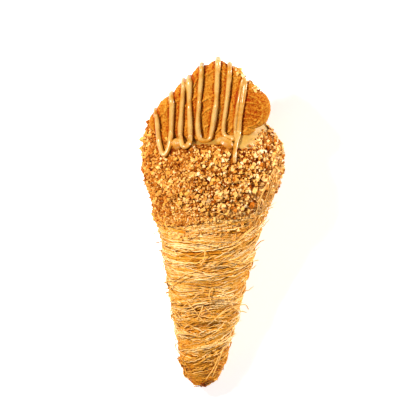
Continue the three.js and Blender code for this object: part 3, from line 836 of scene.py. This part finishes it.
def crumb_bed(biscuit_skin, drizzled):
    """The bed of fine crumbs, lumpy and fissured, and its skin from before it was roughened.

    It stores how thickly larger crumbs cover it, how coarse they are, their tint, which is darker in its gaps
    as painted shade, and their painted light to the sides. They keep clear of the biscuit and the drizzle,
    and are coarsest on the right, painted paler on the right as light and darker on the left as shade.
    """
    bed = solid_copy("crumb_bed", "crumb_coat")
    add_modifier(bed, "REMESH", mode="VOXEL", voxel_size=BED_VOXEL)
    bake(bed)
    mesh = bed.data
    mesh.name = "crumb_bed"
    walls = BVHTree.FromPolygons(*skin_of(bed))
    kinds = ("cover", "grade", "tint", "side_light_paint")
    cover, grade, tint, side_light_paint = (mesh.attributes.new(kind, "FLOAT", "POINT") for kind in kinds)
    normals = [v.normal.copy() for v in mesh.vertices]
    for vertex, normal in zip(mesh.vertices, normals):
        place = vertex.co.copy()
        vertex.co.y -= COAT_WEAR * bareness(place)
        radial = Vector((place.x, 0, place.z)).normalized()
        outside = normal.dot(radial) > 0.2 or (place.y > CREAM_EDGE and normal.y > 0.3)
        if not outside:
            continue
        thin = share_between(place.y, SKIRT_START, SKIRT_END)
        coarse = thin * (0.35 + 0.65 * share_between(place.x, COARSE_FROM, COARSE_TO))
        lump = lump_share(place)
        clumps = (lump - MEAN_LUMP) * (0.4 + 0.6 * coarse) + noise.noise(place / CLUMP_SIZE) * 0.6
        grit = noise.noise(place / GRIT_SIZE) * 0.5

        hidden = biscuit_skin.ray_cast(place - normal * MM, normal, 3 * MM)[0]
        beside = share_between(drizzled.find_nearest(place)[3], *BESIDE_DRIZZLE)
        cover.data[vertex.index].value = 0 if hidden else beside * (1 - 0.95 * coarse * (1 - lump))
        grade.data[vertex.index].value = 0.6 + 0.15 * thin + 0.35 * coarse
        # Painted shade: the tint is darker where clumps and grit are low, in the gaps that are pushed in
        # below.
        tint.data[vertex.index].value = 0.55 - 0.2 * thin + 0.7 * (clumps + grit)
        # Painted light and shade: paler to the upper right, where the light falls, and darker to the left.
        upper_right = share_between(place.x, *LIGHT_PAINTED_RIGHT) * (0.4 + 0.6 * share_between(place.y, *LIGHT_PAINTED_ABOVE))
        left = share_between(-place.x, *SHADE_PAINTED_LEFT)
        side_light_paint.data[vertex.index].value = 0.35 * upper_right - 0.3 * left

        # What is pushed in stays clear of the other wall.
        push = (clumps + grit - CRUMB_ROOM / MM) * (0.3 + 0.7 * thin) * MM
        other_wall = walls.ray_cast(place - normal * 0.05 * MM, -normal, REACH)[3] or REACH
        vertex.co += normal * max(push, -0.6 * other_wall)
    return bed, walls


def stuck_crumbs(name, piece, node, tree, sizes, cover_at):
    """Single crumbs that stick to a piece, as densely as cover_at says of each place on it."""
    carrier = piece.data.copy()
    count = len(carrier.vertices)
    values = {
        "cover": [cover_at(v.co) for v in carrier.vertices],
        "grade": [1.0] * count,
        "tint": [0.4] * count,
    }
    for kind, numbers in values.items():
        carrier.attributes.new(kind, "FLOAT", "POINT").data.foreach_set("value", numbers)
    hand_over(grow(name, carrier, tree, sizes), [node])


def crumb_coat(cone, filling, wafer, strands):
    """The bed, the larger crumbs on it, and those that have come off onto the pastry, the cream and the
    biscuit's right-hand edge."""
    drizzled = BVHTree.FromPolygons(*skin_of(strands))
    biscuit_skin = BVHTree.FromPolygons(*skin_of(wafer))
    bed, walls = crumb_bed(biscuit_skin, drizzled)
    tree = crumb_tree()
    for number, (name, kind) in enumerate(CRUMB_KINDS.items(), 1):
        material = crumb_material(f"Biscuit crumbs {number}", kind["stops"])
        sizes = crumb_sizes(kind["size"], kind["most"], 17 * number, material)
        hand_over(grow(name, bed.data, tree, sizes), ["crumb_coat"])

    def on_pastry(place):
        near = 1 - share_between(walls.find_nearest(place)[3], *STRAYS_ON_PASTRY)
        return near**2 if place.y < SKIRT_END else 0

    def on_cream(place):
        if place.z < 0 or place.y < CREAM_EDGE or bareness(place) > 0.1:
            return 0
        if biscuit_skin.find_nearest(place)[3] < 0.2 * MM:
            return 0
        near = 1 - share_between(walls.find_nearest(place)[3], *STRAYS_ON_CREAM)
        return near * share_between(drizzled.find_nearest(place)[3], *STRAYS_BESIDE_DRIZZLE)

    def on_biscuit(place):
        # Only along the upper right edge, and not behind it.
        x, y, z = BISCUIT.inverted() @ place
        outer = x + y > RIGHT_CORNER.x + RIGHT_CORNER.y + 1.35 * CORNER_RADIUS
        upper = y > RIGHT_CORNER.y + 7 * MM
        return 0.8 if outer and upper and z > -2 * MM else 0

    golden = crumb_material("Loose biscuit crumbs", CRUMB_KINDS["crumbs_golden"]["stops"])
    sizes = crumb_sizes(STRAY_CRUMBS["size"], STRAY_CRUMBS["most"], 68, golden)
    stuck_crumbs("crumbs_on_pastry", cone, "crumb_coat", tree, sizes, on_pastry)
    stuck_crumbs("crumbs_on_cream", filling, "crumb_coat", tree, sizes, on_cream)
    # Painted light: the crumbs on the biscuit's upper right edge, where the light catches it, get the palest
    # colours.
    sizes["Material"] = crumb_material("Biscuit crumbs painted pale as lit", CRUMB_KINDS["crumbs_pale"]["stops"])
    stuck_crumbs("crumbs_on_biscuit", wafer, "caramel_biscuit", tree, sizes, on_biscuit)
    # The bed is coloured darker than the crumbs on it, as painted shade in the gaps between them.
    brown = [(0.1, 0x501402), (0.45, 0xA45C12), (0.9, 0xE4A852)]
    hand_over(bed, ["crumb_coat"], crumb_material("Fine biscuit crumbs", brown))


# --- The cream ---


def cone_radius(height):
    short = 1 - min(1, height / TIP_ROUNDING)
    return (TIP_RADIUS + CONE_SLOPE * height) * math.sqrt(1 - short**4)


def band_radius(height):
    """Outer radius of the bulging band that the crumbs make round the mouth."""
    reach = COAT_BELOW if height < COAT_MIDDLE else COAT_ABOVE
    share = min(1, abs(height - COAT_MIDDLE) / reach)
    return COAT_RADIUS - COAT_ROUNDING * (1 - math.sqrt(1 - share**2))


DOME_RADIUS = band_radius(CREAM_EDGE) - COAT_THICKNESS / 2


def mouth_lean(height):
    """How far the mouth's middle is off the axis."""
    return -MOUTH_LEAN * min(1, max(0, (height - CONE_LENGTH) / (CREAM_EDGE - CONE_LENGTH)))


def cream_radius(height):
    if height < CONE_LENGTH:
        return cone_radius(height) - WALL
    share = (height - CONE_LENGTH) / (CREAM_EDGE - CONE_LENGTH)
    return band_radius(height) - COAT_THICKNESS * (1 - share**2 / 2)


def dome_height(x, z):
    share = min(1, math.hypot(x - mouth_lean(CREAM_EDGE), z) / DOME_RADIUS)
    height = CREAM_TOP - (CREAM_TOP - CREAM_EDGE) * share**2
    for bump in (SWELL, SCOOP):
        distance = math.hypot(x - bump["x"], z - bump["z"]) / bump["spread"]
        height += bump["height"] * math.exp(-(distance**2) / 2) * (1 - share**8)
    return height


def cream():
    """Cream from the bottom of the hollow up to the smooth dome in the mouth."""
    sides, dome, columns = 40, 60, 180

    def place(row, column):
        angle = TURN * column / columns
        if row == 0:
            return Vector((0, HOLLOW_START, 0))
        if row <= sides:
            height = HOLLOW_START + (CREAM_EDGE - HOLLOW_START) * (row - 1) / (sides - 1)
            radius = cream_radius(height)
        else:
            height = CREAM_EDGE
            radius = DOME_RADIUS * (1 - (row - sides) / dome)
        x = radius * math.sin(angle) + mouth_lean(height)
        z = radius * math.cos(angle)
        point = Vector((x, height if row <= sides else dome_height(x, z), z))
        return point + Vector((x, 0, z)).normalized() * CREAM_BULGE * bareness(point)

    return closed_grid("cream_filling_smooth", sides + dome, columns, place)


# --- The biscuit ---


SIDE_LENGTHS = [SIDES[i]["lobes"] * SIDES[i]["pitch"] for i in (0, 1, 0, 1)]
STRAIGHT_HALVES = [(length - TURN / 4 * CORNER_RADIUS) / 2 for length in SIDE_LENGTHS]
RIGHT_CORNER = Matrix.Rotation(BISCUIT_SLANT, 2) @ Vector((STRAIGHT_HALVES[0], -STRAIGHT_HALVES[1]))


def outline_point(share):
    """A point on the scalloped outline at a share of the way round, slanted as the biscuit stands."""
    whole = sum(SIDE_LENGTHS)
    walked = share * whole
    side = 0
    while walked > SIDE_LENGTHS[side] and side < 3:
        walked -= SIDE_LENGTHS[side]
        side += 1
    arc = TURN / 8 * CORNER_RADIUS
    along = min(2 * STRAIGHT_HALVES[side], max(0, walked - arc))
    bend = (walked - arc - along) / CORNER_RADIUS
    lobe = LOBE_DEPTH * abs(math.cos(math.pi * walked / SIDES[side % 2]["pitch"]))
    # The right-hand corner is one large, puffed lobe.
    from_corner = {0: SIDE_LENGTHS[0] - walked, 1: walked}.get(side, whole) / PUFFED_CORNER["reach"]
    if from_corner < 1:
        lobe = (LOBE_DEPTH + PUFFED_CORNER["swell"]) * (1 - from_corner**4)
    # The top corner is worn blunt.
    from_top = {1: SIDE_LENGTHS[1] - walked, 2: walked}.get(side, whole) / WORN_CORNER["reach"]
    lobe -= WORN_CORNER["loss"] * max(0, 1 - from_top**2)
    reach = CORNER_RADIUS + lobe
    x = along - STRAIGHT_HALVES[side] + reach * math.sin(bend)
    y = -STRAIGHT_HALVES[(side + 1) % 4] - reach * math.cos(bend)
    return Matrix.Rotation(BISCUIT_SLANT + side * TURN / 4, 2) @ Vector((x, y))


BISCUIT_COLUMNS = 448
OUTLINE = [outline_point(column / BISCUIT_COLUMNS) for column in range(BISCUIT_COLUMNS)]


def ridge(distance, width):
    """A rounded ridge, 1 high along its middle line."""
    return max(0, 1 - (2 * distance / width) ** 2)


def stamped(point, inset):
    """The biscuit's plain stamp, from 0 to 1: a border, two oval rings with a bar on either side, and bars
    across the right-hand corner."""
    x, y = Matrix.Rotation(-BISCUIT_SLANT, 2) @ point
    lines = [abs(math.hypot(x / a, y / b) - 1) * min(a, b) for a, b in STAMP_OVALS]
    beyond_bar = max(0, abs(x) - STAMP_BARS["half length"])
    lines.append(math.hypot(beyond_bar, abs(y) - STAMP_BARS["off the middle"]))
    lines.append(abs(inset - STAMP_BORDER))
    corner = point - RIGHT_CORNER
    if corner.length < CORNER_BARS["reach"]:
        pitch = CORNER_BARS["pitch"]
        lines.append(abs((corner.y + corner.x**2 / CORNER_BARS["bend"]) % pitch - pitch / 2))
    wear = min(1, 0.6 + noise.noise(point.to_3d() / (2 * MM)))
    return max(ridge(distance, STAMP_LINE) for distance in lines) * wear


def biscuit():
    """A thick biscuit with a rounded rim: rows run from the middle of its back over the edge to the middle of
    its front."""
    face_rows, edge_rows = 90, 10
    rows = 2 * face_rows + edge_rows
    half = BISCUIT_THICKNESS / 2
    stamp_light_and_corner_dark = {}

    def place(row, column):
        outline = OUTLINE[column]
        step = min(row, rows - row)
        side = 1 if row > rows / 2 else -1
        inset = outline.length * max(0, 1 - step / face_rows)
        point = outline * (1 - inset / outline.length)
        depth = half
        if inset < BISCUIT_RIM:
            depth -= BISCUIT_RIM * (1 - math.sqrt(1 - (1 - inset / BISCUIT_RIM) ** 2))
        if step > face_rows:
            depth = side * (half - BISCUIT_RIM) * (2 * (row - face_rows) / edge_rows - 1)
        here = Vector((*point, side * depth))
        grain = sum(height * noise.noise(here / size) for size, height in BISCUIT_GRAIN)
        relief = darker_corner = 0
        if side > 0 and inset > BISCUIT_RIM / 2:
            relief = stamped(point, inset) * min(1, (inset / BISCUIT_RIM - 0.5) * 2)
            puff = max(0, 1 - ((point - RIGHT_CORNER).length / (CORNER_RADIUS + LOBE_DEPTH)) ** 2)
            here.z += PUFFED_CORNER["height"] * puff
            darker_corner = puff
        wave = BISCUIT_WAVE[1] * noise.noise(here / BISCUIT_WAVE[0])
        here.z += side * (grain + wave + STAMP_HEIGHT * relief) * MM
        if inset < BISCUIT_RIM:
            here.xy += outline.normalized() * grain * MM
        # The colour relief paints the raised stamp paler as a painted highlight, and the puffed corner
        # darker.
        stamp_light_and_corner_dark[row, column] = relief - darker_corner
        return here

    piece = closed_grid("caramelised_biscuit", rows, BISCUIT_COLUMNS, place)
    # This attribute only colours the biscuit: a painted highlight on the raised stamp, darker over the puffed
    # corner.
    relief = piece.data.attributes.new("relief", "FLOAT", "POINT")
    relief.data.foreach_set("value", list(stamp_light_and_corner_dark.values()))
    piece.data.transform(BISCUIT)
    return piece


# --- The drizzle and loose threads, laid on at listed places ---


def smooth_route(points, step):
    """Evenly spaced points along a smooth curve through the given ones."""
    fine = []
    steps_between = 24
    ends = [2 * points[0] - points[1], *points, 2 * points[-1] - points[-2]]
    for a, b, c, d in zip(ends, ends[1:], ends[2:], ends[3:]):
        for t in np.linspace(0, 1, steps_between, endpoint=False):
            bend = (2 * a - 5 * b + 4 * c - d) * t**2 + (3 * b - 3 * c + d - a) * t**3
            fine.append(b + 0.5 * ((c - a) * t + bend))
    fine.append(points[-1].copy())
    lengths = np.cumsum([0] + [(q - p).length for p, q in zip(fine, fine[1:])])
    wanted = np.linspace(0, lengths[-1], max(2, round(lengths[-1] / step)))
    flat = np.array(fine)
    even = [np.interp(wanted, lengths, flat[:, axis]) for axis in range(3)]
    return [Vector(point) for point in zip(*even)]


def seen_skin(*pieces):
    """The skin of some pieces as seen, for rays that run straight away from the viewer."""
    points, faces = skin_of(*pieces)
    turned = LOOK.inverted()
    return BVHTree.FromPolygons([turned @ point for point in points], faces)


def laid_route(skin, places, lift):
    """A smooth route through places as seen, in millimetres, that rests on a skin and bridges its hollows."""
    route = smooth_route([Vector((x, y, 0)) * MM for x, y in places], ROUTE_STEP)
    depths = []
    for point in route:
        hit = skin.ray_cast(Vector((point.x, point.y, REACH)), Vector((0, 0, -1)))[0]
        depths.append(hit.z if hit else (depths[-1] if depths else 0))
    window = 7
    for settle in (np.max, np.mean):
        padded = np.pad(depths, window // 2, mode="edge")
        depths = settle(np.lib.stride_tricks.sliding_window_view(padded, window), axis=1)
    return [Vector((point.x, point.y, depth + lift)) for point, depth in zip(route, depths)]


def arched(route):
    """The route with its ends dipped in, as those of threads that lie on others do."""
    shares = np.linspace(-1, 1, len(route))
    return [point - Vector((0, 0, LOOSE_DIP * share**4)) for point, share in zip(route, shares)]


def hook(x, radius):
    """The way over the biscuit's upper edge at x, as seen, from its front to behind it."""
    heights = []
    local = x - BISCUIT_CENTRE.x
    for a, b in zip(OUTLINE, OUTLINE[1:] + OUTLINE[:1]):
        if (a.x - local) * (b.x - local) <= 0 and a.x != b.x:
            heights.append(a.y + (b.y - a.y) * (local - a.x) / (b.x - a.x))
    edge = max(heights)
    half = BISCUIT_THICKNESS / 2
    way = [
        (-1.6 * MM, half + STRAND_LIFT * radius),
        (0.1 * radius, half * 0.5),
        (0.25 * radius, -half * 0.5),
        (-2.4 * MM, -half - 0.3 * radius),
    ]
    return [LOOK.inverted() @ (BISCUIT @ Vector((local, edge + up, depth))) for up, depth in way]


def tube_mesh(name, routes):
    """Round tubes along routes of (point, radius), in the horn's own frame."""
    curve = bpy.data.curves.new(name, "CURVE")
    curve.dimensions = "3D"
    curve.bevel_depth = 1
    curve.bevel_resolution = 3
    curve.use_fill_caps = True
    for route in routes:
        spline = curve.splines.new("POLY")
        spline.points.add(len(route) - 1)
        for target, (point, radius) in zip(spline.points, route):
            target.co = (*(LOOK @ point), 1)
            target.radius = radius
    carrier = new_piece(name + "_route", curve)
    mesh = bpy.data.meshes.new_from_object(carrier.evaluated_get(bpy.context.evaluated_depsgraph_get()))
    bpy.data.objects.remove(carrier)
    return new_piece(name, mesh)


def drizzle(*under):
    """Caramel strands laid over what lies under them, fused where they meet."""
    skin = seen_skin(*under)
    routes = []
    for number, strand in enumerate(STRANDS):
        first_radius, last_radius = (radius * MM for radius in strand["radii"])
        route = laid_route(skin, strand["places"], strand.get("lift", STRAND_LIFT) * first_radius)
        first, last = strand["over"]
        if first is not None:
            route = hook(first * MM, first_radius)[::-1] + route
        if last is not None:
            route = route + hook(last * MM, last_radius)
        route = smooth_route(route, ROUTE_STEP)
        points = []
        radii = np.linspace(first_radius, last_radius, len(route))
        for step, (point, radius) in enumerate(zip(route, radii)):
            radius *= 1 + STRAND_SWELLING * noise.noise(Vector((step * 0.06, number * 7.7, 0)))
            # The ends are round.
            to_end = min(1, (min(step, len(route) - 1 - step) + 0.1) * ROUTE_STEP / radius)
            points.append((point, radius * math.sqrt(1 - (1 - to_end) ** 2)))
        routes.append(points)
    piece = tube_mesh("caramel_drizzle", routes)
    add_modifier(piece, "REMESH", mode="VOXEL", voxel_size=STRAND_VOXEL, use_smooth_shade=True)
    add_modifier(piece, "SMOOTH", iterations=3, factor=0.5)
    bake(piece)
    # Partly painted shade: the colour follows the distance from what lies under, so thin pools and the
    # strands' lower sides are darker and their tops paler.
    depth_and_shade = piece.data.attributes.new("depth_and_shade", "FLOAT", "POINT")
    turned = LOOK.inverted()
    for vertex in piece.data.vertices:
        distance = skin.find_nearest(turned @ vertex.co)[3]
        depth_and_shade.data[vertex.index].value = share_between(distance, 0, SPREAD_DEPTH)
    return piece


def strand_shadow_paint(wafer, strands):
    """Paints shade on the biscuit beside the drizzle: marks it from 1 under a strand down to 0 away from it.
    """
    drizzled = BVHTree.FromPolygons(*skin_of(strands))
    shaded_share = wafer.data.attributes.new("strand_shadow_paint", "FLOAT", "POINT")
    for vertex in wafer.data.vertices:
        distance = drizzled.find_nearest(vertex.co)[3]
        shaded_share.data[vertex.index].value = 1 - share_between(distance, SHADOW_PAINT_FROM, SHADOW_PAINT_TO)


def loose_threads(*under):
    """Single threads that lie across the others in an arc, and a bundle that has come up over the crumbs."""
    skin = seen_skin(*under)
    routes = []
    for places in LOOSE_THREADS:
        route = arched(laid_route(skin, places, LOOSE_LIFT))
        routes.append([(point, LOOSE_RADIUS) for point in route])
    for number in range(STRAY_BUNDLE["threads"]):
        places = []
        for step, (x, y) in enumerate(STRAY_BUNDLE["places"]):
            sway = STRAY_BUNDLE["sway"] * noise.noise(Vector((number * 3.1, step * 0.9, 0)))
            places.append((x - number * STRAY_BUNDLE["apart"] + sway, y))
        # They begin and end at different places.
        first, last = number % 3, 6 - number * 2 % 3
        route = arched(laid_route(skin, places[first:last], STRAY_BUNDLE["lift"]))
        routes.append([(point, STRAY_BUNDLE["radius"]) for point in route])
    piece = tube_mesh("threads_fallen", routes)
    pale = kataifi_material("Pale kataifi", [(0.0, 0xE0AC5C), (1.0, 0xF6D49A)])
    hand_over(piece, ["pastry_cone"], pale)


# --- Light, floor and camera ---


VIEW_RISE = LOOK_LEAN - LYING_ANGLE  # how far the camera leans from straight overhead towards the mouth
VIEW_ROLL = math.radians(2.75)
VIEW_MIDDLE = Vector((-4.19 * MM, 5.64 * MM, -0.38 * MM))
VIEW_WIDTH = 160 * MM
AXIS_LIFT = 21 * MM  # how far above the tip, towards the camera, the view is VIEW_WIDTH wide
LENS = 800
SENSOR = 36
LIGHT_AIM = Vector((0, 0.02, 0.02))  # the lights point here, near the middle of the crumb coat


def camera():
    back = Vector((0, math.sin(VIEW_RISE), math.cos(VIEW_RISE)))
    up = Vector((0, math.cos(VIEW_RISE), -math.sin(VIEW_RISE)))
    right = Vector((1, 0, 0))
    turned_right = math.cos(VIEW_ROLL) * right + math.sin(VIEW_ROLL) * up
    turned_up = math.cos(VIEW_ROLL) * up - math.sin(VIEW_ROLL) * right
    data = bpy.data.cameras.new("camera")
    data.lens = LENS
    data.sensor_width = SENSOR
    eye = bpy.data.objects.new("camera", data)
    distance = VIEW_WIDTH * LENS / SENSOR
    place = VIEW_MIDDLE + back * (AXIS_LIFT + distance)
    turn = Matrix((turned_right, turned_up, back)).transposed()
    eye.matrix_world = Matrix.Translation(place) @ turn.to_4x4()
    bpy.context.scene.collection.objects.link(eye)
    bpy.context.scene.camera = eye


def area_light(name, place, size, power, colour):
    data = bpy.data.lights.new(name, "AREA")
    data.size = size
    data.energy = power
    data.color = linear(colour)[:3]
    light = bpy.data.objects.new(name, data)
    light.location = place
    light.rotation_euler = (LIGHT_AIM - Vector(place)).to_track_quat("-Z", "Y").to_euler()
    bpy.context.scene.collection.objects.link(light)


def studio():
    area_light("key", (-0.3, 0.2, 0.5), 0.06, 5.9, 0xFFF6EA)
    area_light("rim", (0.6, 0.2, 0.05), 0.15, 6.8, 0xFFFDFA)
    area_light("fill", (0.1, -0.5, 0.6), 0.5, 1.2, 0xFFFFFF)
    world = bpy.data.worlds.new("studio")
    world.use_nodes = True
    world.node_tree.nodes["Background"].inputs["Color"].default_value = (1, 1, 1, 1)
    world.node_tree.nodes["Background"].inputs["Strength"].default_value = 0.17
    bpy.context.scene.world = world
    bpy.context.scene.view_settings.view_transform = "Standard"


def floor():
    """A light table: a plain sheet of matt opal acrylic that glows faintly and takes only a soft shadow."""
    half = 1.5
    mesh = bpy.data.meshes.new("floor")
    corners = [(-half, -half, 0), (half, -half, 0), (half, half, 0), (-half, half, 0)]
    mesh.from_pydata(corners, [], [(0, 1, 2, 3)])
    piece = new_piece("floor", mesh)
    finish = {
        "Roughness": 0.9,
        "Specular IOR Level": 0.2,
        "Emission Color": (1, 1, 1, 1),
        "Emission Strength": 0.5,
    }
    whites = [(0.3, 0xFDFDFD), (0.7, 0xFFFFFF)]
    mesh.materials.append(food_material("Opal acrylic light table", whites, [(40 * MM, 1.0)], finish))
    piece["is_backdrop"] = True


camera()
studio()
floor()
filling = cream()
wafer = biscuit()
coat = solid_copy("coat_form", "crumb_coat")
strands = drizzle(filling, wafer, coat)
cone = solid_copy("cone_form", "pastry_cone")
loose_threads(cone, coat)
# Painted shade on the biscuit beside the strands.
strand_shadow_paint(wafer, strands)
crumb_coat(cone, filling, wafer, strands)
bpy.data.objects.remove(cone)
bpy.data.objects.remove(coat)
pastry()
hand_over(filling, ["cream_filling"], cream_material())
hand_over(wafer, ["caramel_biscuit"], biscuit_material())
hand_over(strands, ["caramel_biscuit"], caramel_material())

boxes = {"cad": cad_box, "visual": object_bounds()}
{name: [list(corner) for corner in box] for name, box in boxes.items()}
